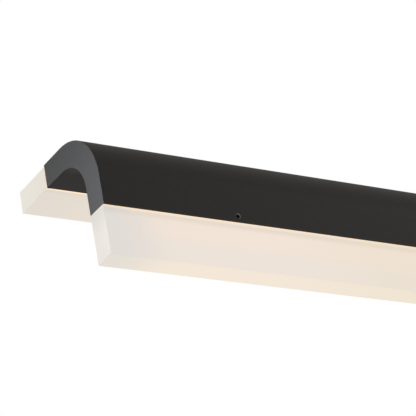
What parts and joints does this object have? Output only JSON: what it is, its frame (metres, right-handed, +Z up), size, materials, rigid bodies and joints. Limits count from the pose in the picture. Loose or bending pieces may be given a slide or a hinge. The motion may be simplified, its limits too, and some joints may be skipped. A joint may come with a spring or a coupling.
{
  "type": "vanity light bar",
  "caption": "Wall light bar: a black shade bent to a right angle, with an opal acrylic bar glowing at the end of each leg, held off the wall by short arms on a square canopy.",
  "frame": {"origin": "centre of the mounting plate's back face, on the wall", "axes": "+X along the bar to the right, +Y into the wall, +Z up"},
  "size_m": [0.61, 0.147, 0.185],
  "materials": {
    "black_powder_coat": "satin black powder coat, very fine texture",
    "opal_acrylic": "polished opal acrylic, lit through its edge by warm white LEDs",
    "black_steel": "black oxide steel, slightly oily",
    "zinc_steel": "bright zinc-plated steel",
    "brass_thread": "turned brass",
    "board_white": "white solder mask on an aluminium-core board",
    "led_phosphor": "yellow phosphor in a white package",
    "plug_white": "natural white nylon",
    "black_rubber": "matte rubber",
    "green_steel": "green dyed zinc",
    "driver_case": "white moulded case, fine texture",
    "terminal_body": "light grey nylon",
    "wire_black": "black wire insulation",
    "wire_white": "white wire insulation",
    "wire_green": "green wire insulation",
    "wire_grey": "grey two-core jacket"
  },
  "bodies": {
    "root": {"arm_left": "black_powder_coat", "arm_lock_washers": "zinc_steel", "arm_nipples": "brass_thread", "arm_nuts": "brass_thread", "arm_right": "black_powder_coat", "arm_screws": "black_steel", "board_plug_front": "plug_white", "board_plug_rear": "plug_white", "board_screws_front": "zinc_steel", "board_screws_rear": "zinc_steel", "canopy_cover": "black_powder_coat", "canopy_screws": "black_steel", "diffuser_front": "opal_acrylic", "diffuser_rear": "opal_acrylic", "driver_nuts": "zinc_steel", "end_cap_left": "black_powder_coat", "end_cap_right": "black_powder_coat", "ground_lead": "wire_green", "ground_ring": "zinc_steel", "ground_screw": "green_steel", "led_board_front": "board_white", "led_board_rear": "board_white", "led_chips_front": "led_phosphor", "led_chips_rear": "led_phosphor", "led_driver": "driver_case", "mounting_plate": "zinc_steel", "nut_plate_left": "zinc_steel", "nut_plate_right": "zinc_steel", "output_lead_front": "wire_grey", "output_lead_rear": "wire_grey", "set_screws_front": "black_steel", "set_screws_rear": "black_steel", "shade_extrusion": "black_powder_coat", "supply_lead_line": "wire_black", "supply_lead_neutral": "wire_white", "terminal_block": "terminal_body", "wire_grommets": "black_rubber"}
  },
  "joints": []
}
